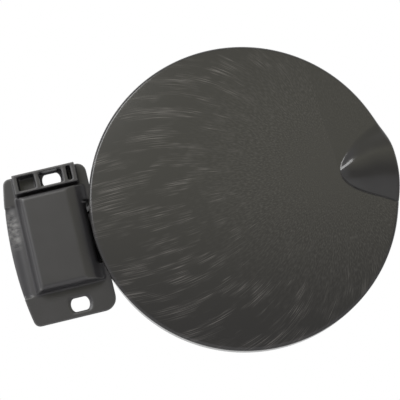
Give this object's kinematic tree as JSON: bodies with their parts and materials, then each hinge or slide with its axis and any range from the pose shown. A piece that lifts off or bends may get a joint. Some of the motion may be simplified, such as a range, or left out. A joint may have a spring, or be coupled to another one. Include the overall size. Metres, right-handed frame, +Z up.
{
  "type": "car fuel door",
  "caption": "Round domed fuel door with a raised finger pull, on a gooseneck hinge in a moulded bracket with slotted fixing holes.",
  "frame": {"origin": "midway between the two fixing holes, on the back face of the bracket's flange", "axes": "+X from the hinge to the free edge of the door, +Y into the car, +Z up as fitted; the door's outer face looks towards -Y"},
  "size_m": [0.2106, 0.0509, 0.165],
  "materials": {
    "bracket_plastic": "moulded dark grey glass-filled polyamide, satin",
    "door_plastic": "moulded charcoal plastic, satin, with faint silvery flow marks",
    "carrier_plastic": "moulded black glass-filled polyamide",
    "bush_plastic": "natural acetal",
    "zinc_steel": "zinc plated",
    "spring_steel": "rolled spring steel",
    "buffer_rubber": "moulded black rubber"
  },
  "bodies": {
    "bracket": {"hinge_bracket": "bracket_plastic", "hinge_pin": "zinc_steel", "pin_clip": "spring_steel", "bush_lower": "bush_plastic", "bush_upper": "bush_plastic", "leaf_spring": "spring_steel"},
    "door": {"door_panel": "door_plastic", "panel_carrier": "carrier_plastic", "carrier_screws": "zinc_steel", "buffer_upper": "buffer_rubber", "buffer_lower": "buffer_rubber"}
  },
  "joints": [
    {"name": "door_hinge", "type": "hinge", "parent": "bracket", "child": "door", "pos_m": [-0.0065, 0.0035, 0.00185], "axis": [0, 0, -1], "range_deg": [0, 95]}
  ]
}
